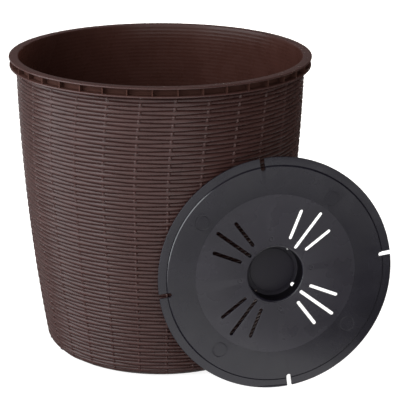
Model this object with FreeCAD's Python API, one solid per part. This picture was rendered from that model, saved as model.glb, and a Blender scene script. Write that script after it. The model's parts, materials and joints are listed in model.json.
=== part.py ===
# Rattan-look planter: a moulded plastic pot and its loose drainage insert, which leans on the pot.
# Millimetres, +Z up. The origin is the centre of the pot's underside and -Y is the front.
import FreeCAD, Part
import math
import os

from FreeCAD import Placement, Rotation, Vector

ORIGIN = Vector(0, 0, 0)
RIGHT = Vector(1, 0, 0)
FRONT = Vector(0, -1, 0)
UP = Vector(0, 0, 1)

# Pot: overall form
POT_HEIGHT = 350.0
RIM_RADIUS = 175.0            # edge of the upper flange
RIM_OVERHANG = 8.0            # from the outside of the wall, under the rim, to that edge
WALL_BASE_RADIUS = 136.2      # outside of the wall, carried down to the underside
WALL_BULGE = 6.4              # how far the outside bows out from a straight taper
WALL_THICKNESS = 2.8
FLOOR_THICKNESS = 3.0
CORNER_RADIUS = 15.8          # outside, where the wall turns into the underside

# Pot: the rim, two flanges joined by upright webs
RIM_BAND = 11.5               # top of the upper flange to the underside of the lower one
UPPER_FLANGE = 2.0            # thickness
LOWER_FLANGE = 2.2            # thickness
LOWER_SETBACK = 0.6           # how far the lower flange stays inside the upper one
RIM_ROUNDING = 0.9
WEB_COUNT = 40
WEB_THICKNESS = 1.5
WEB_SETBACK = 1.0             # from the edge of the lower flange
WEB_PHASE = -2.8              # degrees from the front to the nearest web

# Pot: the woven wall, whose strands run level round the pot with a groove between each two
STRAND_PITCH = 4.535
FIRST_GROOVE = 2.44           # from the lower flange down the wall to the first groove
GROOVE_WIDTH = 1.9
GROOVE_DEPTH = 1.4
GROOVE_SHARE = 0.5            # most of the wall's thickness that a groove may take
PLAIN_CORNER = 28.0           # degrees of the bottom corner, up from the underside, with no strands

# Insert: the plate
INSERT_CLEARANCE = 3.85       # to the pot's wall when the insert's cup stands on the pot's floor
PLATE_THICKNESS = 2.2
BRIM_WIDTH = 10.6             # flat ring outside the step
STEP_HEIGHT = 1.2             # how far the brim lies behind the plate
STEP_RUN = 1.1                # how far the step's face slopes outward
CONE_WIDTH = 32.0             # sloping ring inside the step
CONE_RISE = 1.8
BRIM_ROUNDING = 0.5

# Insert: the central cup
CUP_MOUTH_RADIUS = 31.0
CUP_DEPTH = 18.0
CUP_DRAFT = 4.0               # degrees
CUP_WALL = 2.0                # thickness of its wall and floor
CUP_LIP = 1.2                 # rounding of the mouth
CUP_PANEL_INSET = 4.6         # groove between the cup's wall and its raised floor panel
CUP_PANEL_RISE = 0.8
CUP_CORNER = 1.5              # rounding of the cup's underside
WATER_HOLE_RADIUS = 2.5
WATER_HOLE_HEIGHT = 4.0       # above the cup's floor

# Insert: openings, alike in each quarter
QUARTERS = 4
SLOT_WIDTH = 3.9
SLOT_SPREAD = 15.4            # degrees between neighbouring slots
LONG_SLOT_GAP = 6.2           # from the cup's mouth to the centre of the rounded end
LONG_SLOT_LENGTH = 45.6       # between the centres of the rounded ends
SHORT_SLOT_GAP = 12.9
SHORT_SLOT_LENGTH = 31.6
NOTCH_WIDTH = 5.2
NOTCH_DEPTH = 14.0

# Insert: how it stands, on its brim and leaning back on the pot
INSERT_SPIN = 7.2             # degrees about its own axis
INSERT_TURN = 11.0            # degrees that its face turns from the front to the right
INSERT_LEAN = 4.0             # degrees back from upright
INSERT_OFFSET = 97.0          # sideways from the pot's axis
LEAN_CLEARANCE = 0.3          # to the pot

ROUNDING_SHARE = 0.45         # most of a plate's thickness that one edge's rounding may take
TOLERANCE = 0.005

# Heights and radii that follow from the sizes above
wall_top = POT_HEIGHT - RIM_BAND
lower_flange_top = wall_top + LOWER_FLANGE
upper_flange_base = POT_HEIGHT - UPPER_FLANGE
wall_top_radius = RIM_RADIUS - RIM_OVERHANG
lower_rim_radius = RIM_RADIUS - LOWER_SETBACK
brim_face = CONE_RISE - STEP_HEIGHT
brim_back = brim_face - PLATE_THICKNESS
cup_underside = -CUP_DEPTH - CUP_WALL
cup_floor_radius = CUP_MOUTH_RADIUS - CUP_DEPTH * math.tan(math.radians(CUP_DRAFT))


def wall_arc():
    """Centre and radius, in the section plane, of the arc that the outside of the wall follows."""
    run = wall_top_radius - WALL_BASE_RADIUS
    chord = math.hypot(run, wall_top)
    radius = (chord ** 2 / 4 + WALL_BULGE ** 2) / (2 * WALL_BULGE)
    inward = radius - WALL_BULGE
    middle_radius = (wall_top_radius + WALL_BASE_RADIUS) / 2
    centre_radius = middle_radius - inward * wall_top / chord
    centre_height = wall_top / 2 + inward * run / chord
    return centre_radius, centre_height, radius


def wall_radius(height, depth=0.0):
    """Radius of the wall at a height, on its outside or at a depth into it."""
    centre_radius, centre_height, radius = wall_arc()
    return centre_radius + math.sqrt((radius - depth) ** 2 - (height - centre_height) ** 2)


def corner_start():
    """Radius of the bottom corner's centre, and the angle on the corner where the wall turns into it."""
    centre_radius, centre_height, radius = wall_arc()
    corner_radius = wall_radius(CORNER_RADIUS, CORNER_RADIUS)
    return corner_radius, math.atan2(CORNER_RADIUS - centre_height, corner_radius - centre_radius)


def wall_runs():
    """Runs down the wall's outside, from the lower flange to the bottom corner and to the underside."""
    centre_radius, centre_height, radius = wall_arc()
    corner_angle = corner_start()[1]
    corner_run = radius * (math.asin((wall_top - centre_height) / radius) - corner_angle)
    return corner_run, corner_run + CORNER_RADIUS * (corner_angle + math.pi / 2)


def outside(run, depth=0.0):
    """Radius and height at a run down the outside, bottom corner included, and a depth into the wall."""
    centre_radius, centre_height, radius = wall_arc()
    corner_radius, corner_angle = corner_start()
    corner_run = wall_runs()[0]
    if run > corner_run:
        centre_radius, centre_height, radius = corner_radius, CORNER_RADIUS, CORNER_RADIUS
    angle = corner_angle + (corner_run - run) / radius
    reach = radius - depth
    return centre_radius + reach * math.cos(angle), centre_height + reach * math.sin(angle)


def insert_radius():
    """Radius of the brim, which keeps its clearance to the wall when the cup stands on the pot's floor."""
    brim_seat = FLOOR_THICKNESS - cup_underside + brim_back
    return wall_radius(brim_seat, WALL_THICKNESS) - INSERT_CLEARANCE


def point(radius, height):
    return Vector(radius, 0, height)


def lines(*corners):
    """Straight edges from each corner to the next."""
    return [Part.makeLine(point(*start), point(*end)) for start, end in zip(corners, corners[1:])]


def wall_edge(start, end, depth=0.0):
    """Edge along the wall's section between two heights."""
    heights = (start, (start + end) / 2, end)
    return Part.Arc(*[point(wall_radius(height, depth), height) for height in heights]).toShape()


def strand_edges():
    """Edges up the wall's outside: the plain part of the corner, then the strands up to the lower flange."""
    base_run = wall_runs()[1]
    weave_run = base_run - CORNER_RADIUS * math.radians(PLAIN_CORNER) - FIRST_GROOVE
    depth = min(GROOVE_DEPTH, GROOVE_SHARE * WALL_THICKNESS)
    half = GROOVE_WIDTH / 2
    grooves = [FIRST_GROOVE + STRAND_PITCH * index for index in range(int(weave_run / STRAND_PITCH) + 1)]
    corners = []
    for groove in reversed(grooves):
        corners += [outside(groove + half), outside(groove, depth), outside(groove - half)]
    corners.append(outside(0))
    plain = [outside(base_run), outside((base_run + grooves[-1] + half) / 2), corners[0]]
    return [Part.Arc(*[point(*place) for place in plain]).toShape()] + lines(*corners)


def revolved(edges):
    """Solid made by turning a closed outline about Z."""
    return Part.Face(Part.Wire(edges)).revolve(ORIGIN, UP, 360)


def rings_at(solid, *corners):
    """Edges of a turned solid that run round it through the given radius and height."""
    found = []
    for edge in solid.Edges:
        if not isinstance(edge.Curve, Part.Circle):
            continue
        here = (edge.Curve.Radius, edge.Curve.Center.z)
        if any(math.dist(here, corner) < TOLERANCE for corner in corners):
            found.append(edge)
    return found


def rounded(solid, radius, *corners):
    return solid.makeFillet(radius, rings_at(solid, *corners))


def turned(shape, degrees):
    copy = shape.copy()
    copy.rotate(ORIGIN, UP, degrees)
    return copy


def around(shape, count, first=0.0):
    """Equally spaced copies about Z."""
    return [turned(shape, first + 360 * index / count) for index in range(count)]


def rim_web():
    """One upright web between the flanges, sunk into the wall and both flanges."""
    inner = wall_radius(lower_flange_top) - WALL_THICKNESS / 2
    outer = lower_rim_radius - WEB_SETBACK
    base = lower_flange_top - LOWER_FLANGE / 2
    top = upper_flange_base + UPPER_FLANGE / 2
    corner = Vector(inner, -WEB_THICKNESS / 2, base)
    return Part.makeBox(outer - inner, WEB_THICKNESS, top - base, corner)


def make_pot():
    lower_under = (lower_rim_radius, wall_top)
    lower_upper = (lower_rim_radius, lower_flange_top)
    upper_under = (RIM_RADIUS, upper_flange_base)
    upper_outer = (RIM_RADIUS, POT_HEIGHT)
    mouth = (wall_radius(POT_HEIGHT, WALL_THICKNESS), POT_HEIGHT)
    floor_corner = (wall_radius(FLOOR_THICKNESS, WALL_THICKNESS), FLOOR_THICKNESS)
    outline = lines((0, FLOOR_THICKNESS), (0, 0), (corner_start()[0], 0))
    outline += strand_edges()
    outline += lines((wall_radius(wall_top), wall_top), lower_under, lower_upper,
                     (wall_radius(lower_flange_top), lower_flange_top))
    outline.append(wall_edge(lower_flange_top, upper_flange_base))
    outline += lines((wall_radius(upper_flange_base), upper_flange_base), upper_under, upper_outer, mouth)
    outline.append(wall_edge(POT_HEIGHT, FLOOR_THICKNESS, WALL_THICKNESS))
    outline += lines(floor_corner, (0, FLOOR_THICKNESS))
    pot = revolved(outline)
    pot = rounded(pot, max(CORNER_RADIUS - WALL_THICKNESS, WALL_THICKNESS), floor_corner)
    pot = rounded(pot, min(RIM_ROUNDING, ROUNDING_SHARE * UPPER_FLANGE), upper_outer, upper_under, mouth)
    pot = rounded(pot, min(RIM_ROUNDING, ROUNDING_SHARE * LOWER_FLANGE), lower_under, lower_upper)
    webs = around(rim_web(), WEB_COUNT, WEB_PHASE - 90)
    return pot.multiFuse(webs).removeSplitter().Solids[0]


def pot_envelope():
    """The pot's outside as a plain filled solid, along the fronts of the strands and the edge of the rim."""
    outline = lines((0, POT_HEIGHT), (0, 0), (wall_radius(0), 0))
    outline.append(wall_edge(0, wall_top))
    outline += lines((wall_radius(wall_top), wall_top), (RIM_RADIUS, wall_top), (RIM_RADIUS, POT_HEIGHT),
                     (0, POT_HEIGHT))
    return revolved(outline)


def slot_cutter(start, length, width):
    """Slot with rounded ends along X, from one end's centre to the other, through the whole insert."""
    half = width / 2
    end = start + length
    corners = [Vector(start, -half, 0), Vector(end, -half, 0), Vector(end, half, 0), Vector(start, half, 0)]
    edges = [Part.makeLine(corners[0], corners[1]),
             Part.Arc(corners[1], Vector(end + half, 0, 0), corners[2]).toShape(),
             Part.makeLine(corners[2], corners[3]),
             Part.Arc(corners[3], Vector(start - half, 0, 0), corners[0]).toShape()]
    reach = CONE_RISE - cup_underside
    cutter = Part.Face(Part.Wire(edges)).extrude(UP * (2 * reach))
    cutter.translate(UP * -reach)
    return cutter


def insert_cutters():
    """Everything that is cut out of the plate and the cup."""
    between = 180 / QUARTERS
    long_slot = slot_cutter(CUP_MOUTH_RADIUS + LONG_SLOT_GAP, LONG_SLOT_LENGTH, SLOT_WIDTH)
    short_slot = slot_cutter(CUP_MOUTH_RADIUS + SHORT_SLOT_GAP, SHORT_SLOT_LENGTH, SLOT_WIDTH)
    notch = slot_cutter(insert_radius() - NOTCH_DEPTH + NOTCH_WIDTH / 2, NOTCH_DEPTH, NOTCH_WIDTH)
    hole_start = Vector(cup_floor_radius + CUP_WALL / 2, 0, cup_underside - CUP_WALL)
    water_hole = Part.makeCylinder(WATER_HOLE_RADIUS, 2 * CUP_WALL + WATER_HOLE_HEIGHT, hole_start)
    return (around(long_slot, QUARTERS, between)
            + around(short_slot, QUARTERS, between - SLOT_SPREAD)
            + around(short_slot, QUARTERS, between + SLOT_SPREAD)
            + around(notch, QUARTERS)
            + around(water_hole, QUARTERS, between))


def make_insert():
    """The insert with its axis on Z, its face up and the plate's face at zero height."""
    step_radius = insert_radius() - BRIM_WIDTH
    back_step_radius = step_radius - PLATE_THICKNESS
    crease_radius = step_radius - CONE_WIDTH
    panel_radius = cup_floor_radius - CUP_PANEL_INSET
    panel_face = CUP_PANEL_RISE - CUP_DEPTH
    mouth = (CUP_MOUTH_RADIUS, 0)
    brim_front_edge = (insert_radius(), brim_face)
    brim_back_edge = (insert_radius(), brim_back)
    cup_edge = (cup_floor_radius + CUP_WALL, cup_underside)
    insert = revolved(lines(
        (0, panel_face), (panel_radius, panel_face), (panel_radius, -CUP_DEPTH),
        (cup_floor_radius, -CUP_DEPTH), mouth, (crease_radius, 0), (step_radius, CONE_RISE),
        (step_radius + STEP_RUN, brim_face), brim_front_edge, brim_back_edge, (back_step_radius, brim_back),
        (back_step_radius, CONE_RISE - PLATE_THICKNESS), (crease_radius, -PLATE_THICKNESS),
        (CUP_MOUTH_RADIUS + CUP_WALL, -PLATE_THICKNESS), cup_edge, (0, cup_underside), (0, panel_face)))
    insert = rounded(insert, CUP_LIP, mouth)
    insert = rounded(insert, CUP_CORNER, cup_edge)
    brim_rounding = min(BRIM_ROUNDING, ROUNDING_SHARE * PLATE_THICKNESS)
    insert = rounded(insert, brim_rounding, brim_front_edge, brim_back_edge)
    return insert.cut(insert_cutters()).Solids[0]


def stand_insert(insert, obstacle):
    """Stands the insert on its brim, turned and leant back, and moves it in until it meets an obstacle."""
    turn = Rotation(UP, INSERT_TURN)
    lean = Rotation(RIGHT, 90 - INSERT_LEAN)
    outward = turn.multVec(FRONT)
    start = turn.multVec(RIGHT) * INSERT_OFFSET + outward * (RIM_RADIUS + insert_radius() + CUP_DEPTH)
    standing = insert.copy()
    standing.Placement = Placement(start, turn * lean * Rotation(UP, INSERT_SPIN))
    standing.translate(UP * -standing.optimalBoundingBox(False).ZMin)
    gap = standing.distToShape(obstacle)[0]
    while gap - LEAN_CLEARANCE > TOLERANCE:
        standing.translate(outward * (LEAN_CLEARANCE - gap))
        gap = standing.distToShape(obstacle)[0]
    return standing


def main():
    os.makedirs("parts", exist_ok=True)
    pot = make_pot()
    insert = stand_insert(make_insert(), pot_envelope())
    for name, solid in (("pot", pot), ("drainage_insert", insert)):
        solid.exportStep("parts/%s.step" % name)
        print(name, "valid", solid.isValid(), "volume", round(solid.Volume), solid.optimalBoundingBox(False))
    print("insert radius", insert_radius(), "centre", insert.Placement.Base)


main()
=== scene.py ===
import json
import math

import bmesh
import bpy
import numpy as np
from mathutils import Matrix, Vector


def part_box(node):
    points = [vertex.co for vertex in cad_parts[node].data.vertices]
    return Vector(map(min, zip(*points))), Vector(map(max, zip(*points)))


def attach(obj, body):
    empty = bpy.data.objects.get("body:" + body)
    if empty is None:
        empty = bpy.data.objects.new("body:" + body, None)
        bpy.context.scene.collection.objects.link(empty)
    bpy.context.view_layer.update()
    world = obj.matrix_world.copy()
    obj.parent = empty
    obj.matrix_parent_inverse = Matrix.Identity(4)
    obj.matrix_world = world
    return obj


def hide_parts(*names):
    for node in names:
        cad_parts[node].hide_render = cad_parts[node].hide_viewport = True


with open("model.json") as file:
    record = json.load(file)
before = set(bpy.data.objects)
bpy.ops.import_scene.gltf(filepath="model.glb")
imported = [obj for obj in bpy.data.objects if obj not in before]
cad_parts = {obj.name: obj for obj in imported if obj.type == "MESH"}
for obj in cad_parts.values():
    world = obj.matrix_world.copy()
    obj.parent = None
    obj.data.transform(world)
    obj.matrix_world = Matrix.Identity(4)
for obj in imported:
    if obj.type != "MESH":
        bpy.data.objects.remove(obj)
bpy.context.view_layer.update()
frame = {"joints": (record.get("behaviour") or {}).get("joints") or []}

MM = 0.001
FULL_TURN = 360.0

# Pot: the section, as the solid has it
RIM_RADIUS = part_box("pot")[1].x
POT_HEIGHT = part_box("pot")[1].z
RIM_OVERHANG = 8.0 * MM
WALL_BASE_RADIUS = 136.2 * MM
WALL_BULGE = 6.4 * MM
WALL_THICKNESS = 2.8 * MM
FLOOR_THICKNESS = 3.0 * MM
CORNER_RADIUS = 15.8 * MM
RIM_BAND = 11.5 * MM
UPPER_FLANGE = 2.0 * MM
LOWER_FLANGE = 2.2 * MM
LOWER_SETBACK = 0.6 * MM
RIM_ROUNDING = 0.9 * MM

# Pot: the webs between the flanges, with angles in degrees from the front towards the right
WEB_COUNT = 40
WEB_THICKNESS = 1.5 * MM
WEB_SETBACK = 1.0 * MM
WEB_PHASE = -2.8
WEB_FOOT = 0.55               # half the angle that a web's foot takes on the flanges
WEB_TOP = 0.2

# Pot: the woven relief. It goes inward, and the tops of the strands lie on the solid's wall
STAKE_COUNT = 28
STAKE_PHASE = 3.0
STAKE_LEAN = 3.0              # degrees that the stakes lean to the right at the top
STAKE_LEAN_RUN = 110.0 * MM   # how far down the wall they lean
STAKE_LEAN_EASE = 1.5         # how gently the lean starts
STRAND_PITCH = 4.535 * MM
FIRST_STRAND_RUN = 9.24 * MM  # from the lower flange down to the middle of strand 0
STRAND_SWELL = 0.11           # how far a strand widens over a stake, in pitches
UNDER_DEPTH = 0.85 * MM       # how far a strand sinks where it passes behind a stake
GROOVE_DEPTH = 2.3 * MM
STAKE_DEPTH = 0.22 * MM       # how far the bare front of a stake lies under the tops of the strands
STAKE_HEAD_DEPTH = 1.2 * MM   # the same where the stake comes out from under a strand
STAKE_FOOT_DEPTH = 0.6 * MM   # and where it goes under the next one
STAKE_HALF_TOP = 0.15         # half the angle of a stake's front, in degrees
STAKE_HALF_FOOT = 0.66        # and of its foot
STAKE_REACH = 1.01 * STAKE_HALF_FOOT  # angle within which a column belongs to a stake
STRAND_SAMPLES = (-1.0, -0.76, -0.35, 0.30, 0.76)  # places across a strand, from its groove on
STRAND_ROUNDNESS = 2.0
STRAND_WOBBLE = 0.03          # how unevenly the strands lie, in pitches
CREST_WOBBLE = 0.10 * MM
WOBBLE_SEED = 11
WEAVE_END_ANGLE = -62.0       # degrees on the bottom corner, where the plain band starts
BAND_DEPTH = 0.5 * MM

# Insert: plate, cup and openings, as the solid has them
INSERT_RADIUS = 133.0 * MM
PLATE_THICKNESS = 2.2 * MM
BRIM_WIDTH = 10.6 * MM
STEP_HEIGHT = 1.2 * MM
CONE_WIDTH = 32.0 * MM
CONE_RISE = 1.8 * MM
BRIM_ROUNDING = 0.5 * MM
CUP_MOUTH_RADIUS = 31.0 * MM
CUP_DEPTH = 18.0 * MM
CUP_DRAFT = 4.0
CUP_WALL = 2.0 * MM
CUP_PANEL_INSET = 4.6 * MM
CUP_PANEL_RISE = 0.8 * MM
CUP_CORNER = 1.5 * MM
WATER_HOLE_RADIUS = 2.5 * MM
WATER_HOLE_HEIGHT = 4.0 * MM
QUARTERS = 4
SLOT_WIDTH = 3.9 * MM
SLOT_SPREAD = 15.4            # degrees between a long slot and the short ones beside it
LONG_SLOT_GAP = 6.2 * MM
LONG_SLOT_LENGTH = 45.6 * MM
SHORT_SLOT_GAP = 12.9 * MM
SHORT_SLOT_LENGTH = 31.6 * MM
NOTCH_WIDTH = 5.2 * MM
NOTCH_DEPTH = 14.0 * MM
INSERT_SPIN = 7.2             # degrees that the insert is turned about its own axis

# Insert: edges and grooves that are softer or finer than the solid's
CUP_LIP = 2.2 * MM
STEP_ROUNDING = 0.35 * MM
STEP_EDGE = 0.5 * MM
STEP_RUN = 1.2 * MM           # how far the step's face slopes outward, down to the bottom of its groove
STEP_GROOVE = 0.50 * MM       # width and depth of the groove at the step's foot
STEP_POLISH_START = 0.3 * STEP_EDGE
CREASE_WIDTH = 0.5 * MM
SLOT_EDGE = 0.3 * MM
SLOT_EDGE_CURVE = ((-1.2, 0.0), (-0.4, 0.25), (1.0, 1.7))  # heights and widening at the face, in SLOT_EDGE
PANEL_MARGIN = 1.2            # share of the panel's rise that counts as the panel

# Insert: round marks that the mould's ejector pins leave
PIN_MARK_RADIUS = 8.0 * MM
PIN_MARK_REACH = 104.5 * MM
SMALL_MARK_RADIUS = 2.2 * MM
SMALL_MARK_REACH = 41.0 * MM
MARK_WIDTH = 1.4 * MM
MARK_DEPTH = 0.45 * MM

# Fineness of the meshes, and the angles in degrees over which edges stay sharp
SPAN_COLUMNS = 4              # columns on the wall between two stakes
CELL_COLUMNS = 3              # columns in each cell between two webs
INSIDE_COLUMNS = 140
INSIDE_WALL_RINGS = 17
INSIDE_CORNER_RINGS = 6
INSIDE_FLOOR_SHARES = (0.7, 0.35)
UNDERSIDE_SHARES = (0.4, 0.8)
BAND_RINGS = 4
INSERT_SEGMENTS = 240
MARK_SEGMENTS = 48
MARK_SIDES = 12
RIM_SHARP_ANGLE = 40.0
INSERT_SHARP_ANGLE = 32.0

# Places of the finishes on the two pieces
INSIDE, CELLS = 1, 2
# Painted light on the matt middle and the cup's floor panel, painted shade on the cup's walls
MATT_LIT, CUP, PANEL, STEP = 1, 2, 3, 4

# Plastics: colours, their shares of red, green and blue by place, and drifts and grains in features per metre
PLASTIC_IOR = 1.5
NOISE_LOW = 0.3               # values of the noise between which colour and gloss drift
NOISE_HIGH = 0.7
DARK_BROWN = (0.051, 0.0212, 0.0185)
MIDDLE_BROWN = (0.056, 0.0236, 0.0207)
PALE_BROWN = (0.061, 0.0260, 0.0230)
# Painted light and shade: the pot's one brown is lifted outside and in the shaded cells of the rim, and
# darker and warmer inside
OUTSIDE_LIT_TINT = (1.15, 1.15, 1.15)
CELL_LIT_TINT = (1.18, 1.24, 1.10)
INSIDE_SHADE_TINT = (0.94, 0.86, 0.75)
GROOVE_SHADE_TONE = 0.565           # painted shade: tone at the bottom of the grooves
PLAIN_TONE = 1.0
POT_COLOUR_DRIFT = 30.0
POT_GLOSS_DRIFT = 60.0
POT_GRAIN = 2200.0
POT_GRAIN_HEIGHT = 0.03 * MM
INSIDE_LINE_HEIGHT = 0.085 * MM
INSIDE_LINE_WAVER = 0.6
INSIDE_LINE_DETAIL = 1.0
INSIDE_LINE_DETAIL_SCALE = 0.02
WAVE_FACTOR = 20.0            # waves in 2 pi metres that a scale of 1 gives
BLACK_DARK_SHARE = 0.87
BLACK_PALE_SHARE = 1.13
BLACK_GREEN_SHARE = 0.86
INSERT_COLOUR_DRIFT = 22.0
INSERT_GLOSS_DRIFT = 35.0
INSERT_WARP = 18.0
INSERT_WARP_DETAIL = 1.0
INSERT_WARP_HEIGHT = 0.4 * MM
INSERT_GRAIN = 2600.0
INSERT_GRAIN_HEIGHT = 0.02 * MM
GRAIN_DETAIL = 2.0

# Camera and stage
CAMERA_DISTANCE = 1.697
CAMERA_HEIGHT = 0.722
CAMERA_PITCH = 18.008
CAMERA_LENS = 134.41
CAMERA_SENSOR = 36.0
CAMERA_SHIFT = 0.0992
FLOOR_SIZE = 60.0
FLOOR_GREY = 0.5
FLOOR_GLOW = 0.86             # of the floor by the object, as the camera and reflections see it
FAR_GLOW = 1.0
GLOW_RISE_START = 1.2         # distances from the pot's axis between which the glow rises
GLOW_RISE_END = 3.0
PATCH_HEIGHT = 3 * MM
FOOT_RING_HEIGHT = 2 * MM
SKY_STRENGTH = 0.10
TOP_LIGHT_SPREAD = 6.0
NEUTRAL = (1.0, 1.0, 1.0)
COOL = (0.93, 0.97, 1.0)
WARM = (1.0, 0.93, 0.86)
AMBER = (1.0, 0.88, 0.76)


def radians(degrees):
    """Radians of one angle or of many."""
    return np.asarray(degrees) * math.pi / 180


# Heights and radii of the pot that follow from the sizes above
wall_top = POT_HEIGHT - RIM_BAND
lower_flange_top = wall_top + LOWER_FLANGE
upper_flange_base = POT_HEIGHT - UPPER_FLANGE
wall_top_radius = RIM_RADIUS - RIM_OVERHANG
lower_rim_radius = RIM_RADIUS - LOWER_SETBACK

# Radii of the insert that follow from them
step_radius = INSERT_RADIUS - BRIM_WIDTH
crease_radius = step_radius - CONE_WIDTH
cup_floor_radius = CUP_MOUTH_RADIUS - CUP_DEPTH * math.tan(math.radians(CUP_DRAFT))


def wall_arc():
    """Centre and radius, in the section plane, of the arc that the outside of the wall follows."""
    run = wall_top_radius - WALL_BASE_RADIUS
    chord = math.hypot(run, wall_top)
    radius = (chord ** 2 / 4 + WALL_BULGE ** 2) / (2 * WALL_BULGE)
    inward = radius - WALL_BULGE
    middle_radius = (wall_top_radius + WALL_BASE_RADIUS) / 2
    centre_radius = middle_radius - inward * wall_top / chord
    centre_height = wall_top / 2 + inward * run / chord
    return centre_radius, centre_height, radius


arc_centre_radius, arc_centre_height, arc_radius = wall_arc()


def wall_radius(height, depth=0.0):
    """Radius of the wall at a height, on its outside or at a depth into it."""
    return arc_centre_radius + np.sqrt((arc_radius - depth) ** 2 - (height - arc_centre_height) ** 2)


# The wall's outside by its run, which is measured down the section from the lower flange
corner_centre_radius = wall_radius(CORNER_RADIUS, CORNER_RADIUS)
top_angle = math.asin((wall_top - arc_centre_height) / arc_radius)
corner_angle = math.atan2(CORNER_RADIUS - arc_centre_height, corner_centre_radius - arc_centre_radius)
corner_run = arc_radius * (top_angle - corner_angle)
base_run = corner_run + CORNER_RADIUS * (corner_angle + math.pi / 2)
weave_end_run = corner_run + CORNER_RADIUS * (corner_angle - radians(WEAVE_END_ANGLE))


def outside(run, depth):
    """Radius and height of a point at a run down the wall's outside and at a depth into it."""
    on_wall = run <= corner_run
    angle = np.where(on_wall, top_angle - run / arc_radius, corner_angle - (run - corner_run) / CORNER_RADIUS)
    bend = np.where(on_wall, arc_radius, CORNER_RADIUS) - depth
    centre_radius = np.where(on_wall, arc_centre_radius, corner_centre_radius)
    centre_height = np.where(on_wall, arc_centre_height, CORNER_RADIUS)
    return centre_radius + bend * np.cos(angle), centre_height + bend * np.sin(angle)


def ring(angles, radius, height):
    """Points round the pot's axis, at angles in degrees from the front towards the right."""
    turn = radians(angles)
    radius = np.broadcast_to(radius, turn.shape)
    height = np.broadcast_to(height, turn.shape)
    return np.stack([radius * np.sin(turn), -radius * np.cos(turn), height], axis=1)


def wall_columns():
    """Angles of the mesh's columns on the woven wall: four on each stake, the rest spread between stakes."""
    spacing = FULL_TURN / STAKE_COUNT
    gap = (spacing - 2 * STAKE_HALF_FOOT) / (SPAN_COLUMNS + 1)
    offsets = [-STAKE_HALF_FOOT, -STAKE_HALF_TOP, STAKE_HALF_TOP, STAKE_HALF_FOOT]
    offsets += [STAKE_HALF_FOOT + gap * (index + 1) for index in range(SPAN_COLUMNS)]
    return np.concatenate([STAKE_PHASE + spacing * stake + np.array(offsets) for stake in range(STAKE_COUNT)])


def rim_columns(web_offsets):
    """Angles of the mesh's columns on the rim: four at each web, the rest spread over the cell beside it."""
    spacing = FULL_TURN / WEB_COUNT
    gap = (spacing - 2 * WEB_FOOT) / (CELL_COLUMNS + 1)
    offsets = np.array(list(web_offsets) + [WEB_FOOT + gap * (index + 1) for index in range(CELL_COLUMNS)])
    first = math.ceil((STAKE_PHASE + STAKE_LEAN - STAKE_HALF_FOOT - WEB_PHASE) / spacing)
    return np.concatenate([WEB_PHASE + spacing * (first + web) + offsets for web in range(WEB_COUNT)])


def along_strand(values, columns):
    """Values given at the stakes, eased from one stake to the next, at each column."""
    place = (columns - STAKE_PHASE) / (FULL_TURN / STAKE_COUNT)
    before = np.floor(place).astype(int)
    ease = (1 - np.cos(math.pi * (place - before))) / 2
    return values[before % STAKE_COUNT] * (1 - ease) + values[(before + 1) % STAKE_COUNT] * ease


def stake_lean(run):
    """Degrees that the stakes have turned to the right at a run down the wall."""
    return STAKE_LEAN * np.clip(1 - run / STAKE_LEAN_RUN, 0, 1) ** STAKE_LEAN_EASE


def weave_rings(columns):
    """Rings of the woven wall from the top down: one in each groove and the rest over each strand.

    Also returns which rings run along a groove, which points lie on the bare part of a stake, which lie where
    the stake goes under a strand, and how deep each point lies, as a share of the grooves' depth.
    """
    random = np.random.default_rng(WOBBLE_SEED)
    spacing = FULL_TURN / STAKE_COUNT
    place = (columns - STAKE_PHASE) / spacing
    from_stake = np.abs((columns - STAKE_PHASE + spacing / 2) % spacing - spacing / 2)
    stake_front = from_stake < (STAKE_HALF_TOP + STAKE_HALF_FOOT) / 2
    stake_side = from_stake < STAKE_REACH
    strand_count = int((weave_end_run - FIRST_STRAND_RUN) / STRAND_PITCH)
    rings = []
    in_groove = []
    on_stake = []
    tucked = []
    hollow = []
    for strand in range(-1, strand_count):
        over = np.cos(math.pi * place) * (-1) ** strand
        half_width = 0.5 + STRAND_SWELL * over
        crest_shift = along_strand(random.uniform(0, CREST_WOBBLE, STAKE_COUNT), columns)
        groove_shift = along_strand(random.uniform(-STRAND_WOBBLE, STRAND_WOBBLE, STAKE_COUNT), columns)
        crest = UNDER_DEPTH * (1 - over) / 2 + crest_shift
        bare = stake_front & (over < 0)
        for sample in STRAND_SAMPLES:
            pitches = strand + sample * half_width + groove_shift * (1 - sample) / 2
            run = FIRST_STRAND_RUN + STRAND_PITCH * pitches
            depth = crest + (GROOVE_DEPTH - crest) * abs(sample) ** STRAND_ROUNDNESS
            groove = sample == STRAND_SAMPLES[0]
            if groove:
                depth = np.where(bare, STAKE_HEAD_DEPTH, np.where(stake_front, STAKE_FOOT_DEPTH, depth))
            else:
                depth = np.where(bare, STAKE_DEPTH, depth)
            rings.append(ring(columns + stake_lean(run), *outside(run, depth)))
            in_groove.append(groove)
            on_stake.append(stake_side & (over < 0) & (not groove))
            tucked.append(stake_side & (over > 0) & (sample == STRAND_SAMPLES[1]))
            hollow.append(depth / GROOVE_DEPTH)
    return rings, in_groove, on_stake, tucked, hollow


def quarter_round(centre, radius, start, steps=3):
    """Section points of a rounding of 90 degrees, from a start angle in degrees."""
    angles = [radians(start + 90 * step / steps) for step in range(steps + 1)]
    return [(centre[0] + radius * math.cos(angle), centre[1] + radius * math.sin(angle)) for angle in angles]


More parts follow.
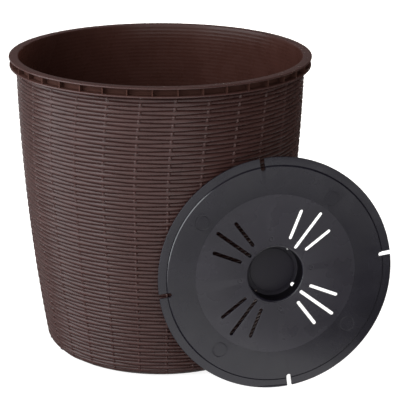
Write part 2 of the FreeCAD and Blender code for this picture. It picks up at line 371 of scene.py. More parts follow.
def rim_rings():
    """Rings of the two flanges and the webs between them, from the lower flange's underside to the mouth."""
    flange_columns = rim_columns((-WEB_FOOT, -WEB_TOP, WEB_TOP, WEB_FOOT))
    half_web = math.degrees(WEB_THICKNESS / 2 / wall_top_radius)
    cell_columns = rim_columns((-half_web, -half_web, half_web, half_web))
    on_web = np.tile(np.array([False, True, True, False] + [False] * CELL_COLUMNS), WEB_COUNT)
    web_radius = lower_rim_radius - WEB_SETBACK
    mouth_radius = wall_radius(POT_HEIGHT, WALL_THICKNESS)
    lower_edge = lower_rim_radius - RIM_ROUNDING
    upper_edge = RIM_RADIUS - RIM_ROUNDING
    lower = (quarter_round((lower_edge, wall_top + RIM_ROUNDING), RIM_ROUNDING, -90)
             + quarter_round((lower_edge, lower_flange_top - RIM_ROUNDING), RIM_ROUNDING, 0))
    upper = (quarter_round((upper_edge, upper_flange_base + RIM_ROUNDING), RIM_ROUNDING, -90)
             + quarter_round((upper_edge, POT_HEIGHT - RIM_ROUNDING), RIM_ROUNDING, 0)
             + quarter_round((mouth_radius + RIM_ROUNDING, POT_HEIGHT - RIM_ROUNDING), RIM_ROUNDING, 90))
    rings = [ring(flange_columns, *section) for section in lower]
    for height in (lower_flange_top, upper_flange_base):
        rings.append(ring(cell_columns, np.where(on_web, web_radius, wall_radius(height)), height))
    rings += [ring(flange_columns, *section) for section in upper]
    return rings, flange_columns


def inside_rings(columns):
    """Rings of the inside, from the mouth down the wall and round the corner onto the floor."""
    rounding = CORNER_RADIUS - WALL_THICKNESS
    corner_height = FLOOR_THICKNESS + rounding
    corner_radius = wall_radius(corner_height, WALL_THICKNESS + rounding)
    start = math.atan2(corner_height - arc_centre_height, corner_radius - arc_centre_radius)
    wall_base = corner_height + rounding * math.sin(start)
    heights = np.linspace(POT_HEIGHT - RIM_ROUNDING, wall_base, INSIDE_WALL_RINGS + 1)[1:]
    rings = [ring(columns, wall_radius(height, WALL_THICKNESS), height) for height in heights]
    for angle in np.linspace(start, -math.pi / 2, INSIDE_CORNER_RINGS + 1)[1:]:
        radius = corner_radius + rounding * math.cos(angle)
        rings.append(ring(columns, radius, corner_height + rounding * math.sin(angle)))
    rings += [ring(columns, corner_radius * share, FLOOR_THICKNESS) for share in INSIDE_FLOOR_SHARES]
    return rings


def zip_faces(low_angles, low_start, high_angles, high_start):
    """Triangles between two rings whose points don't match in number."""
    low_count, high_count = len(low_angles), len(high_angles)
    low_ahead = np.append(low_angles[1:], low_angles[0] + FULL_TURN)
    high_ahead = np.append(high_angles[1:], high_angles[0] + FULL_TURN)
    faces = []
    low = high = 0
    while low < low_count or high < high_count:
        low_point = low_start + low % low_count
        high_point = high_start + high % high_count
        if high == high_count or (low < low_count and low_ahead[low] < high_ahead[high]):
            low += 1
            faces.append((low_point, low_start + low % low_count, high_point))
        else:
            high += 1
            faces.append((low_point, high_start + high % high_count, high_point))
    return faces


def skin(name, stretches, first_centre, last_centre):
    """Closed mesh over stretches of rings, each with its own column angles, and a centre point at each end.

    Returns the piece and the number of faces before each stretch.
    """
    points = [np.array([first_centre])]
    faces = []
    starts = []
    total = 1
    last_ring = None
    for angles, rings in stretches:
        starts.append(len(faces))
        count = len(angles)
        here = range(count)
        ahead = [*range(1, count), 0]
        if last_ring is None:
            faces += [(0, total + after, total + place) for place, after in zip(here, ahead)]
        else:
            faces += zip_faces(*last_ring, angles, total)
        for row in range(len(rings) - 1):
            low = total + row * count
            high = low + count
            for place, after in zip(here, ahead):
                faces.append((low + place, low + after, high + after, high + place))
        points += rings
        total += len(rings) * count
        last_ring = (angles, total - count)
    last = total - count
    faces += [(last + place, last + after, total) for place, after in zip(here, ahead)]
    points.append(np.array([last_centre]))
    mesh = bpy.data.meshes.new(name)
    mesh.from_pydata(np.concatenate(points).tolist(), [], faces)
    mesh.shade_smooth()
    piece = bpy.data.objects.new(name, mesh)
    bpy.context.scene.collection.objects.link(piece)
    return piece, starts


def band_rings(columns):
    """Rings of the plain band round the bottom corner, from the underside up to the weave."""
    runs = np.linspace(base_run, weave_end_run, BAND_RINGS + 1)[:-1]
    depths = np.linspace(0.0, BAND_DEPTH, BAND_RINGS)
    return [ring(columns, *outside(np.full(columns.shape, run), depth)) for run, depth in zip(runs, depths)]


def make_pot():
    """The pot as one closed mesh: underside, plain band, weave, rim and inside."""
    columns = wall_columns()
    underside = [ring(columns, corner_centre_radius * share, 0.0) for share in UNDERSIDE_SHARES]
    band = band_rings(columns)
    weave, in_groove, on_stake, tucked, hollow = weave_rings(columns)
    top_columns = columns + STAKE_LEAN
    head = [ring(top_columns, wall_radius(wall_top), wall_top)]
    rim, flange_columns = rim_rings()
    inside_columns = flange_columns[0] + FULL_TURN / INSIDE_COLUMNS * np.arange(INSIDE_COLUMNS)
    stretches = [(top_columns, underside + band + weave[::-1] + head), (flange_columns, rim),
                 (inside_columns, inside_rings(inside_columns))]
    pot, starts = skin("pot_body", stretches, (0, 0, 0), (0, 0, FLOOR_THICKNESS))
    for material in (pot_plastic(), pot_plastic_inside(), pot_plastic_cells()):
        pot.data.materials.append(material)
    for face in pot.data.polygons[starts[2]:]:
        face.material_index = INSIDE
    for face in pot.data.polygons[starts[1]:starts[2]]:
        if lower_flange_top < face.center.z < upper_flange_base:
            face.material_index = CELLS
    mark_sharp(pot.data, math.radians(RIM_SHARP_ANGLE), starts[1], starts[2])
    first_woven = 1 + (len(underside) + len(band)) * len(columns)
    crease_weave(pot.data, first_woven, in_groove[::-1], on_stake[::-1], tucked[::-1])
    mark_hollows(pot.data, first_woven, np.concatenate(hollow[::-1]))
    return pot


def mark_hollows(mesh, first_point, hollow):
    """Keeps on each point how deep it lies in the weave, for the material's painted shade in the grooves."""
    values = np.zeros(len(mesh.vertices), dtype=np.float32)
    values[first_point:first_point + len(hollow)] = hollow
    mesh.attributes.new("hollow", "FLOAT", "POINT").data.foreach_set("value", values)


def crease_weave(mesh, first_point, in_groove, on_stake, tucked):
    """Keeps the bottoms of the grooves, the edges of the bare stakes and the places they go under sharp."""
    in_groove = np.array(in_groove)
    on_stake = np.array(on_stake)
    tucked = np.array(tucked)
    ends = np.empty(2 * len(mesh.edges), dtype=np.int32)
    mesh.edges.foreach_get("vertices", ends)
    rows, columns = np.divmod(ends.reshape(-1, 2) - first_point, on_stake.shape[1])
    woven = np.all((rows >= 0) & (rows < len(in_groove)), axis=1)
    rows = np.where(woven[:, None], rows, 0)
    along_row = rows[:, 0] == rows[:, 1]
    along_groove = along_row & (in_groove[rows[:, 0]] | tucked[rows, columns].all(axis=1))
    along_stake = ~along_row & (on_stake | tucked)[rows, columns].any(axis=1)
    sharp = mesh.attributes.get("sharp_edge") or mesh.attributes.new("sharp_edge", "BOOLEAN", "EDGE")
    values = np.empty(len(mesh.edges), dtype=bool)
    sharp.data.foreach_get("value", values)
    sharp.data.foreach_set("value", values | (woven & (along_groove | along_stake)))


def mark_sharp(mesh, angle, first_face, last_face):
    """Sharp edges in a stretch of faces, where the faces beside an edge turn by more than an angle."""
    work = bmesh.new()
    work.from_mesh(mesh)
    for edge in work.edges:
        inside = all(first_face <= face.index < last_face for face in edge.link_faces)
        if inside and len(edge.link_faces) == 2 and edge.calc_face_angle(0.0) > angle:
            edge.smooth = False
    work.to_mesh(mesh)
    work.free()


def rounded_outline(corners, steps=5):
    """Outline through corners of radius, height and rounding, with an arc at each rounded corner."""
    points = []
    for index, (x, y, rounding) in enumerate(corners):
        here = Vector((x, y))
        if rounding == 0 or index in (0, len(corners) - 1):
            points.append(here)
            continue
        back = (Vector(corners[index - 1][:2]) - here).normalized()
        ahead = (Vector(corners[index + 1][:2]) - here).normalized()
        half = back.angle(ahead) / 2
        reach = rounding / math.tan(half)
        centre = here + (back + ahead).normalized() * (rounding / math.sin(half))
        first = here + back * reach - centre
        last = here + ahead * reach - centre
        sweep = first.angle_signed(last)
        for step in range(steps + 1):
            turned = first.copy()
            turned.rotate(Matrix.Rotation(-sweep * step / steps, 2))
            points.append(centre + turned)
    return points


def turned_mesh(name, outline, segments):
    """Mesh made by turning an outline about Z, from the axis and back to the axis."""
    angles = np.arange(segments) * 2 * math.pi / segments
    rings = []
    for point in outline[1:-1]:
        height = np.full(segments, point.y)
        rings.append(np.stack([point.x * np.cos(angles), point.x * np.sin(angles), height], axis=1))
    return skin(name, [(np.degrees(angles), rings)], (0, 0, outline[0].y), (0, 0, outline[-1].y))[0]


def prism(sections):
    """Closed mesh through equal outlines at rising heights: each section is a height and its points."""
    work = bmesh.new()
    layers = [[work.verts.new((x, y, height)) for x, y in outline] for height, outline in sections]
    count = len(layers[0])
    work.faces.new(layers[0][::-1])
    work.faces.new(layers[-1])
    for low, high in zip(layers, layers[1:]):
        for index in range(count):
            after = (index + 1) % count
            work.faces.new((low[index], low[after], high[after], high[index]))
    return work


def slot_outline(start, length, half, steps=10):
    """Outline of a slot with rounded ends along X."""
    angles = [math.pi * step / steps - math.pi / 2 for step in range(steps + 1)]
    far = [(start + length + half * math.cos(angle), half * math.sin(angle)) for angle in angles]
    near = [(start - half * math.cos(angle), -half * math.sin(angle)) for angle in angles]
    return far + near


def slot_cutter(start, length):
    """Cutter for a drain slot whose edges at the front and back are a little softened."""
    half = SLOT_WIDTH / 2
    levels = [(-PLATE_THICKNESS - SLOT_EDGE, 2 * SLOT_EDGE), (-PLATE_THICKNESS + SLOT_EDGE, 0.0)]
    levels += [(height * SLOT_EDGE, more * SLOT_EDGE) for height, more in SLOT_EDGE_CURVE]
    return prism([(height, slot_outline(start, length, half + more)) for height, more in levels])


def notch_cutter():
    """Cutter for a notch in the insert's edge."""
    outline = slot_outline(INSERT_RADIUS - NOTCH_DEPTH + NOTCH_WIDTH / 2, NOTCH_DEPTH, NOTCH_WIDTH / 2)
    return prism([(-CUP_DEPTH / 2, outline), (CUP_DEPTH / 2, outline)])


def water_hole_cutter():
    """Cutter for a water hole in the cup's bottom corner."""
    outline = slot_outline(cup_floor_radius + CUP_WALL / 2, 0.0, WATER_HOLE_RADIUS)
    floor = -CUP_DEPTH
    return prism([(floor - 2 * CUP_WALL, outline), (floor + WATER_HOLE_HEIGHT, outline)])


def mark_cutter(reach, radius):
    """Ring that cuts a shallow round groove into the plate's face, laid on the slope it meets."""
    slope = CONE_RISE / CONE_WIDTH if reach > crease_radius else 0.0
    work = bmesh.new()
    loops = []
    for turn in range(MARK_SEGMENTS):
        angle = 2 * math.pi * turn / MARK_SEGMENTS
        loop = []
        for side in range(MARK_SIDES):
            tilt = 2 * math.pi * side / MARK_SIDES
            distance = radius + MARK_WIDTH / 2 * math.cos(tilt)
            x = reach + distance * math.cos(angle)
            height = slope * max(x - crease_radius, 0.0)
            loop.append(work.verts.new((x, distance * math.sin(angle), height + MARK_DEPTH * math.sin(tilt))))
        loops.append(loop)
    for turn in range(MARK_SEGMENTS):
        here, there = loops[turn], loops[(turn + 1) % MARK_SEGMENTS]
        for side in range(MARK_SIDES):
            after = (side + 1) % MARK_SIDES
            work.faces.new((here[side], there[side], there[after], here[after]))
    return work


def cutters():
    """One mesh with everything that is cut out of the insert."""
    between = 180 / QUARTERS
    beside = (between - SLOT_SPREAD, between + SLOT_SPREAD)
    kinds = [
        (slot_cutter(CUP_MOUTH_RADIUS + LONG_SLOT_GAP, LONG_SLOT_LENGTH), (between,)),
        (slot_cutter(CUP_MOUTH_RADIUS + SHORT_SLOT_GAP, SHORT_SLOT_LENGTH), beside),
        (notch_cutter(), (0.0,)),
        (water_hole_cutter(), (between,)),
        (mark_cutter(PIN_MARK_REACH, PIN_MARK_RADIUS), (between,)),
        (mark_cutter(SMALL_MARK_REACH, SMALL_MARK_RADIUS), (0.0,)),
    ]
    joined = bmesh.new()
    for work, firsts in kinds:
        bmesh.ops.recalc_face_normals(work, faces=work.faces)
        for first in firsts:
            for quarter in range(QUARTERS):
                turn = math.radians(first + FULL_TURN * quarter / QUARTERS)
                single = bpy.data.meshes.new("cutter")
                work.to_mesh(single)
                single.transform(Matrix.Rotation(turn, 4, "Z"))
                joined.from_mesh(single)
                bpy.data.meshes.remove(single)
        work.free()
    mesh = bpy.data.meshes.new("cutters")
    joined.to_mesh(mesh)
    joined.free()
    piece = bpy.data.objects.new("cutters", mesh)
    bpy.context.scene.collection.objects.link(piece)
    return piece


def insert_outline():
    """Section of the insert with its axis on Z and its face up, from the cup's floor to the underside."""
    back_step = step_radius - PLATE_THICKNESS
    slope = CONE_RISE / CONE_WIDTH
    brim_face = CONE_RISE - STEP_HEIGHT
    brim_back = brim_face - PLATE_THICKNESS
    panel_radius = cup_floor_radius - CUP_PANEL_INSET
    panel_face = CUP_PANEL_RISE - CUP_DEPTH
    underside = -CUP_DEPTH - CUP_WALL
    soft = STEP_ROUNDING
    return rounded_outline([
        (0, panel_face, 0), (panel_radius, panel_face, soft), (panel_radius, -CUP_DEPTH, soft / 2),
        (cup_floor_radius, -CUP_DEPTH, soft), (CUP_MOUTH_RADIUS, 0, CUP_LIP),
        (crease_radius - CREASE_WIDTH, 0, 0), (crease_radius + CREASE_WIDTH, slope * CREASE_WIDTH, 0),
        (step_radius, CONE_RISE, STEP_EDGE), (step_radius + STEP_RUN, brim_face - STEP_GROOVE, 0),
        (step_radius + STEP_RUN + STEP_GROOVE, brim_face, 0),
        (INSERT_RADIUS, brim_face, BRIM_ROUNDING), (INSERT_RADIUS, brim_back, BRIM_ROUNDING),
        (back_step, brim_back, soft), (back_step, CONE_RISE - PLATE_THICKNESS, soft / 2),
        (crease_radius, -PLATE_THICKNESS, 0), (CUP_MOUTH_RADIUS + CUP_WALL, -PLATE_THICKNESS, soft),
        (cup_floor_radius + CUP_WALL, underside, CUP_CORNER), (0, underside, 0)])


def cut_insert():
    """Mesh of the insert with its openings and marks, its axis on Z."""
    blank = turned_mesh("insert_blank", insert_outline(), INSERT_SEGMENTS)
    turn_normals_out(blank.data)
    cutter = cutters()
    cut = blank.modifiers.new("openings", "BOOLEAN")
    cut.operation = "DIFFERENCE"
    cut.solver = "EXACT"
    cut.object = cutter
    view = bpy.context.evaluated_depsgraph_get()
    mesh = bpy.data.meshes.new_from_object(blank.evaluated_get(view))
    bpy.data.objects.remove(blank)
    bpy.data.objects.remove(cutter)
    mesh.name = "insert_plate"
    return mesh


def finish_insert(mesh):
    """Gives the faces their finish while the axis is on Z: a matt middle painted lighter, a cup painted dark
    as painted shade with its floor panel painted lighter, and a polished step.
    """
    mesh.materials.clear()
    for material in insert_finishes():
        mesh.materials.append(material)
    panel_top = CUP_PANEL_RISE * PANEL_MARGIN - CUP_DEPTH
    step_base = CONE_RISE - STEP_HEIGHT - 2 * STEP_GROOVE
    for face in mesh.polygons:
        reach = math.hypot(face.center.x, face.center.y)
        height = face.center.z
        in_cup = reach < CUP_MOUTH_RADIUS and -CUP_DEPTH - CUP_WALL / 2 < height < -CUP_LIP
        # Painted shade on the cup's walls, painted light on its floor panel and on the matt middle
        if in_cup:
            face.material_index = PANEL if height < panel_top else CUP
        elif CUP_MOUTH_RADIUS + CUP_LIP < reach < crease_radius and height > -PLATE_THICKNESS / 2:
            face.material_index = MATT_LIT
        elif step_radius + STEP_POLISH_START < reach < step_radius + STEP_RUN and height > step_base:
            face.material_index = STEP


def stand_insert(mesh):
    """Turns the insert to face along its joint's axis and moves it into the solid's place."""
    axis = Vector(frame["joints"][0]["axis"])
    turn = math.atan2(axis.x, -axis.y)
    lean = math.asin(axis.z)
    stand = (Matrix.Rotation(turn, 4, "Z") @ Matrix.Rotation(math.pi / 2 - lean, 4, "X")
             @ Matrix.Rotation(math.radians(INSERT_SPIN), 4, "Z"))
    mesh.transform(stand)
    place = np.array([vertex.co for vertex in mesh.vertices])
    low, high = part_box("drainage_insert")
    middle = (Vector(place.min(0)) + Vector(place.max(0))) / 2
    mesh.transform(Matrix.Translation((low + high) / 2 - middle))


def make_insert():
    """The drainage insert, standing on its brim and leaning on the pot."""
    mesh = cut_insert()
    finish_insert(mesh)
    stand_insert(mesh)
    mesh.shade_smooth()
    mesh.set_sharp_from_angle(angle=math.radians(INSERT_SHARP_ANGLE))
    piece = bpy.data.objects.new("insert_plate", mesh)
    bpy.context.scene.collection.objects.link(piece)
    return piece


def turn_normals_out(mesh):
    """Turns the faces of a closed mesh to the outside."""
    work = bmesh.new()
    work.from_mesh(mesh)
    bmesh.ops.recalc_face_normals(work, faces=work.faces)
    work.to_mesh(mesh)
    work.free()


def empty_material(name):
    """Material whose node tree has only the output."""
    material = bpy.data.materials.new(name)
    material.use_nodes = True
    tree = material.node_tree
    tree.nodes.clear()
    output = tree.nodes.new("ShaderNodeOutputMaterial")
    return material, tree, output.inputs["Surface"]


def plastic(name, shine):
    """Material with a Principled shader, for a plastic with a share of full shine."""
    material, tree, surface = empty_material(name)
    shader = tree.nodes.new("ShaderNodeBsdfPrincipled")
    shader.inputs["IOR"].default_value = PLASTIC_IOR
    shader.inputs["Specular IOR Level"].default_value = shine
    tree.links.new(shader.outputs["BSDF"], surface)
    return material, tree, shader


def noise(tree, scale, detail=3.0):
    """Noise over the piece's own coordinates, in features per metre."""
    place = tree.nodes.new("ShaderNodeTexCoord")
    node = tree.nodes.new("ShaderNodeTexNoise")
    node.inputs["Scale"].default_value = scale
    node.inputs["Detail"].default_value = detail
    tree.links.new(place.outputs["Object"], node.inputs["Vector"])
    return node.outputs["Fac"]


def drift(tree, source, colours):
    """Colours spread evenly over the noise's range, from low to high."""
    node = tree.nodes.new("ShaderNodeValToRGB")
    stops = node.color_ramp.elements
    stops[0].position = NOISE_LOW
    stops[1].position = NOISE_HIGH
    stops[0].color = (*colours[0], 1)
    stops[1].color = (*colours[-1], 1)
    for index, colour in enumerate(colours[1:-1], start=1):
        stop = stops.new(NOISE_LOW + (NOISE_HIGH - NOISE_LOW) * index / (len(colours) - 1))
        stop.color = (*colour, 1)
    tree.links.new(source, node.inputs["Fac"])
    return node.outputs["Color"]


def spread(tree, source, low, high):
    """Maps the noise's range onto another."""
    node = tree.nodes.new("ShaderNodeMapRange")
    node.inputs["From Min"].default_value = NOISE_LOW
    node.inputs["From Max"].default_value = NOISE_HIGH
    node.inputs["To Min"].default_value = low
    node.inputs["To Max"].default_value = high
    tree.links.new(source, node.inputs["Value"])
    return node.outputs["Result"]


def bump(tree, source, height, below=None):
    """Fine relief of a height in metres, laid over another if one is given."""
    node = tree.nodes.new("ShaderNodeBump")
    node.inputs["Strength"].default_value = 1.0
    node.inputs["Distance"].default_value = height
    tree.links.new(source, node.inputs["Height"])
    if below is not None:
        tree.links.new(below, node.inputs["Normal"])
    return node.outputs["Normal"]


def pot_shader(name, smooth, matt, shine, tint, groove_shade_tone):
    """Brown plastic: a slow drift of colour and gloss, painted shade that darkens the hollows, and the fine
    grain of the mould.
    """
    material, tree, shader = plastic(name, shine)
    browns = []
    for colour in (DARK_BROWN, MIDDLE_BROWN, PALE_BROWN):
        browns.append([part * share for part, share in zip(colour, tint)])
    brown = drift(tree, noise(tree, POT_COLOUR_DRIFT), browns)
    # Painted shade: the brown darkens with the depth into the grooves, down to the groove shade tone
    hollow = tree.nodes.new("ShaderNodeAttribute")
    hollow.attribute_name = "hollow"
    shade = tree.nodes.new("ShaderNodeMapRange")
    shade.inputs["To Min"].default_value = PLAIN_TONE
    shade.inputs["To Max"].default_value = groove_shade_tone
    tree.links.new(hollow.outputs["Fac"], shade.inputs["Value"])
    shaded = tree.nodes.new("ShaderNodeVectorMath")
    shaded.operation = "SCALE"
    tree.links.new(brown, shaded.inputs[0])
    tree.links.new(shade.outputs["Result"], shaded.inputs["Scale"])
    tree.links.new(shaded.outputs["Vector"], shader.inputs["Base Color"])
    tree.links.new(spread(tree, noise(tree, POT_GLOSS_DRIFT), smooth, matt), shader.inputs["Roughness"])
    grain = bump(tree, noise(tree, POT_GRAIN, GRAIN_DETAIL), POT_GRAIN_HEIGHT)
    tree.links.new(grain, shader.inputs["Normal"])
    return material, tree, shader, grain


def pot_plastic():
    """Satin on the strands and the flanges."""
    # Painted light: the outside's brown is lifted
    return pot_shader("pot_plastic_woven", smooth=0.24, matt=0.32, shine=0.33,
                      tint=OUTSIDE_LIT_TINT, groove_shade_tone=GROOVE_SHADE_TONE)[0]


def pot_plastic_cells():
    """Matt in the cells of the rim, which the mould's tool doesn't polish."""
    # Painted light: the cells' brown is lifted lighter and greener in their shade
    return pot_shader("pot_plastic_cells", smooth=0.60, matt=0.70, shine=0.05,
                      tint=CELL_LIT_TINT, groove_shade_tone=PLAIN_TONE)[0]


def pot_plastic_inside():
    """Satin inside, where the strands outside show through as faint lines."""
    # Painted shade: the inside's brown is darker and warmer
    material, tree, shader, grain = pot_shader("pot_plastic_inside", smooth=0.24, matt=0.32, shine=0.25,
                                               tint=INSIDE_SHADE_TINT, groove_shade_tone=PLAIN_TONE)
    place = tree.nodes.new("ShaderNodeTexCoord")
    lines = tree.nodes.new("ShaderNodeTexWave")
    lines.wave_type = "BANDS"
    lines.bands_direction = "Z"
    lines.inputs["Scale"].default_value = 2 * math.pi / WAVE_FACTOR / STRAND_PITCH
    lines.inputs["Distortion"].default_value = INSIDE_LINE_WAVER
    lines.inputs["Detail"].default_value = INSIDE_LINE_DETAIL
    lines.inputs["Detail Scale"].default_value = INSIDE_LINE_DETAIL_SCALE
    tree.links.new(place.outputs["Object"], lines.inputs["Vector"])
    echo = bump(tree, lines.outputs["Fac"], INSIDE_LINE_HEIGHT, grain)
    tree.links.new(echo, shader.inputs["Normal"])
    return material


def insert_plastic(name, tone, blue, smooth, matt, shine):
    """Black plastic with a slow drift of tone and gloss, a slight warp and a fine grain."""
    material, tree, shader = plastic(name, shine)
    blacks = []
    for share in (BLACK_DARK_SHARE, BLACK_PALE_SHARE):
        red = share * tone
        blacks.append((red, BLACK_GREEN_SHARE * red, blue * red))
    black = drift(tree, noise(tree, INSERT_COLOUR_DRIFT), blacks)
    tree.links.new(black, shader.inputs["Base Color"])
    tree.links.new(spread(tree, noise(tree, INSERT_GLOSS_DRIFT), smooth, matt), shader.inputs["Roughness"])
    warp = bump(tree, noise(tree, INSERT_WARP, INSERT_WARP_DETAIL), INSERT_WARP_HEIGHT)
    grain = bump(tree, noise(tree, INSERT_GRAIN, GRAIN_DETAIL), INSERT_GRAIN_HEIGHT, warp)
    tree.links.new(grain, shader.inputs["Normal"])
    return material


def insert_finishes():
    """The insert's finishes in the order of their places: smooth, matt and painted lighter, the cup's walls
    painted dark as painted shade, the cup's floor panel painted lighter, and polished step.
    """
    return [
        insert_plastic("insert_plastic_smooth", tone=0.0100, blue=1.50, smooth=0.17, matt=0.31, shine=0.43),
        # Painted light: the matt middle is a lighter copy of the black, and rougher
        insert_plastic("insert_plastic_matt_lit", tone=0.0165, blue=1.35, smooth=0.22, matt=0.36, shine=0.48),
        # Painted shade: the cup's walls are a much darker copy of the black; painted light: its floor panel
        # is a lighter one
        insert_plastic("insert_plastic_cup_shade", tone=0.0040, blue=1.20, smooth=0.35, matt=0.45, shine=0.15),
        insert_plastic("insert_plastic_panel_lit", tone=0.0130, blue=1.30, smooth=0.35, matt=0.45, shine=0.25),
        insert_plastic("insert_plastic_step", tone=0.0100, blue=1.50, smooth=0.12, matt=0.20, shine=1.00),
    ]


def floor_glow(tree):
    """Strength of the floor's glow: none for diffuse light, and more of it far from the object."""
    path = tree.nodes.new("ShaderNodeLightPath")
    seen = path.outputs["Is Camera Ray"]
    for other in ("Is Glossy Ray", "Is Transmission Ray"):
        either = tree.nodes.new("ShaderNodeMath")
        either.operation = "MAXIMUM"
        tree.links.new(seen, either.inputs[0])
        tree.links.new(path.outputs[other], either.inputs[1])
        seen = either.outputs[0]
    place = tree.nodes.new("ShaderNodeTexCoord")
    away = tree.nodes.new("ShaderNodeVectorMath")
    away.operation = "LENGTH"
    tree.links.new(place.outputs["Object"], away.inputs[0])
    rise = tree.nodes.new("ShaderNodeMapRange")
    rise.inputs["From Min"].default_value = GLOW_RISE_START
    rise.inputs["From Max"].default_value = GLOW_RISE_END
    rise.inputs["To Min"].default_value = FLOOR_GLOW
    rise.inputs["To Max"].default_value = FAR_GLOW
    tree.links.new(away.outputs["Value"], rise.inputs["Value"])
    strength = tree.nodes.new("ShaderNodeMath")
    strength.operation = "MULTIPLY"
    tree.links.new(seen, strength.inputs[0])
    tree.links.new(rise.outputs["Result"], strength.inputs[1])
    return strength.outputs[0]


def make_floor():
    """Pale floor, shown white to the camera and in reflections, that keeps the object's shadow."""
    material, tree, surface = empty_material("floor_white")
    diffuse = tree.nodes.new("ShaderNodeBsdfDiffuse")
    diffuse.inputs["Color"].default_value = (FLOOR_GREY, FLOOR_GREY, FLOOR_GREY, 1)
    glow = tree.nodes.new("ShaderNodeEmission")
    tree.links.new(floor_glow(tree), glow.inputs["Strength"])
    both = tree.nodes.new("ShaderNodeAddShader")
    tree.links.new(diffuse.outputs[0], both.inputs[0])
    tree.links.new(glow.outputs[0], both.inputs[1])
    tree.links.new(both.outputs[0], surface)
    half = FLOOR_SIZE / 2
    mesh = bpy.data.meshes.new("floor")
    mesh.from_pydata(*level_sheet(-half, half, -half, half, 0))
    mesh.materials.append(material)
    floor = bpy.data.objects.new("floor", mesh)
    bpy.context.scene.collection.objects.link(floor)


def level_sheet(left, right, front, back, height):
    """Corners, edges and face of a level sheet."""
    corners = [(left, front, height), (right, front, height), (right, back, height), (left, back, height)]
    return corners, [], [(0, 1, 2, 3)]


def floor_patch(left, right, front, back):
    """Level card just over the floor."""
    return level_sheet(left, right, front, back, PATCH_HEIGHT)


def floor_ring(inner, outer, start, end, steps=24):
    """Level card round the pot's foot, between two angles in degrees from the front to the right."""
    turns = [math.radians(start + (end - start) * step / steps) for step in range(steps + 1)]
    corners = []
    for turn in turns:
        for reach in (inner, outer):
            corners.append((reach * math.sin(turn), -reach * math.cos(turn), FOOT_RING_HEIGHT))
    faces = [(2 * step, 2 * step + 1, 2 * step + 3, 2 * step + 2) for step in range(steps)]
    return corners, [], faces


def upright_card(start, end, height):
    """Card that stands on the floor from one point to another."""
    return [(*start, 0), (*end, 0), (*end, height), (*start, height)], [], [(0, 1, 2, 3)]


def reflection_card(name, sheet, glow):
    """Card in the studio that only reflections see."""
    material, tree, surface = empty_material(name)
    emission = tree.nodes.new("ShaderNodeEmission")
    emission.inputs["Strength"].default_value = glow
    tree.links.new(emission.outputs[0], surface)
    mesh = bpy.data.meshes.new(name)
    mesh.from_pydata(*sheet)
    mesh.materials.append(material)
    card = bpy.data.objects.new(name, mesh)
    card.visible_camera = False
    card.visible_diffuse = False
    card.visible_shadow = False
    bpy.context.scene.collection.objects.link(card)


def make_cards():
    """What the plastic mirrors round the object: painted reflections, on cards that only reflections see.

    The floor is painted dim in reflections round the foot, where dim_foot stands in for the pot's shadow as
    painted shade, and at the right, far in front and behind. It is painted bright before the insert, and so
    is a card behind at the left.
    Dark flags stand at the right and at the back.
    """
    # Painted reflections: the dim cards paint shade and the glow cards paint light into what the plastic
    # mirrors
    reflection_card("dim_foot", floor_ring(inner=0.12, outer=0.27, start=-40, end=75), glow=0.25)
    reflection_card("dim_side", floor_ring(inner=0.12, outer=0.45, start=-170, end=-40), glow=0.22)
    reflection_card("dim_right", floor_patch(left=0.28, right=1.6, front=-0.52, back=0.3), glow=0.26)
    reflection_card("dim_front", floor_patch(left=0.37, right=1.6, front=-0.90, back=-0.52), glow=0.26)
    reflection_card("glow_front", floor_patch(left=0.04, right=0.225, front=-0.50, back=-0.156), glow=1.6)
    reflection_card("dim_far", floor_patch(left=0.27, right=0.46, front=-0.95, back=-0.74), glow=0.05)
    reflection_card("dim_middle", floor_patch(left=0.23, right=0.28, front=-0.47, back=-0.34), glow=0.10)
    reflection_card("glow_foot", floor_patch(left=0.225, right=0.27, front=-0.30, back=-0.18), glow=1.0)
    reflection_card("dim_left", floor_patch(left=-1.4, right=-0.22, front=0.25, back=1.4), glow=0.15)
    reflection_card("dim_back", floor_patch(left=-0.22, right=1.6, front=0.3, back=1.6), glow=0.08)
    reflection_card("glow_left", upright_card(start=(-1.9, 0.9), end=(-0.8, 2.1), height=1.4), glow=0.36)
    reflection_card("flag_right", upright_card(start=(0.62, -0.3), end=(0.62, 1.2), height=0.9), glow=0.03)
    reflection_card("flag_back", upright_card(start=(-0.6, 1.5), end=(0.62, 1.5), height=1.1), glow=0.10)


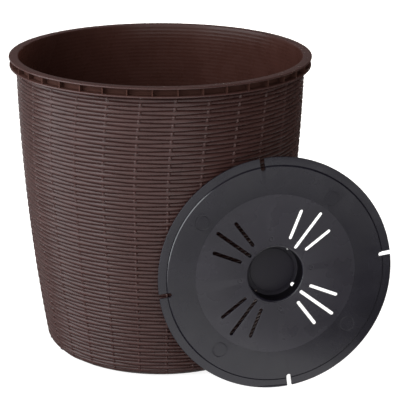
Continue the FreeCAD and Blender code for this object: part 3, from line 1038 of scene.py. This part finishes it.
def area_light(name, place, target, size, power, colour=NEUTRAL):
    """Rectangular light at a place, turned to a target, with a power in watts."""
    lamp = bpy.data.lights.new(name, "AREA")
    lamp.shape = "RECTANGLE"
    lamp.size, lamp.size_y = size
    lamp.energy = power
    lamp.color = colour
    holder = bpy.data.objects.new(name, lamp)
    holder.location = place
    holder.rotation_euler = (Vector(target) - Vector(place)).to_track_quat("-Z", "Y").to_euler()
    bpy.context.scene.collection.objects.link(holder)
    return holder


def make_light():
    """Soft light from the left, the front and behind, and weak lights for the inside and the right.

    The plastic doesn't mirror the lights at the rear and the top.
    """
    middle = (0.0, 0.0, 0.17)
    area_light("softbox_left", place=(-1.45, -0.50, 1.0), target=(0.0, -0.20, 0.6), size=(1.9, 2.0),
               power=38, colour=COOL)
    area_light("softbox_front", place=(-0.6, -2.3, 1.4), target=middle, size=(4.0, 2.6), power=50)
    area_light("softbox_back", place=(0.0, 1.5, 2.6), target=middle, size=(2.0, 1.2), power=3)
    rear = area_light("softbox_rear", place=(0.9, 2.1, 0.9), target=middle, size=(1.6, 1.2),
                      power=60, colour=WARM)
    rear.visible_glossy = False
    down = area_light("softbox_top", place=(0.0, 0.0, 2.4), target=(0.0, 0.0, 0.0), size=(0.10, 0.10),
                      power=0.03)
    down.data.spread = math.radians(TOP_LIGHT_SPREAD)
    down.visible_glossy = False
    area_light("fill_right", place=(1.5, 0.1, 0.2), target=middle, size=(1.2, 0.4), power=3, colour=AMBER)
    world = bpy.data.worlds.new("studio")
    world.use_nodes = True
    sky = world.node_tree.nodes["Background"]
    sky.inputs["Color"].default_value = (*NEUTRAL, 1)
    sky.inputs["Strength"].default_value = SKY_STRENGTH
    bpy.context.scene.world = world


def make_camera():
    """Camera in front of the object, above it and pitched down."""
    camera = bpy.data.cameras.new("camera")
    camera.sensor_width = CAMERA_SENSOR
    camera.lens = CAMERA_LENS
    camera.shift_x = CAMERA_SHIFT
    holder = bpy.data.objects.new("camera", camera)
    holder.location = (0.0, -CAMERA_DISTANCE, CAMERA_HEIGHT)
    holder.rotation_euler = (math.radians(90 - CAMERA_PITCH), 0.0, 0.0)
    bpy.context.scene.collection.objects.link(holder)
    bpy.context.scene.camera = holder


pot = make_pot()
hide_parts("pot")
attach(pot, "pot")

insert = make_insert()
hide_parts("drainage_insert")
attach(insert, "insert")

make_floor()
make_cards()
make_light()
make_camera()
bpy.context.scene.view_settings.view_transform = "Standard"
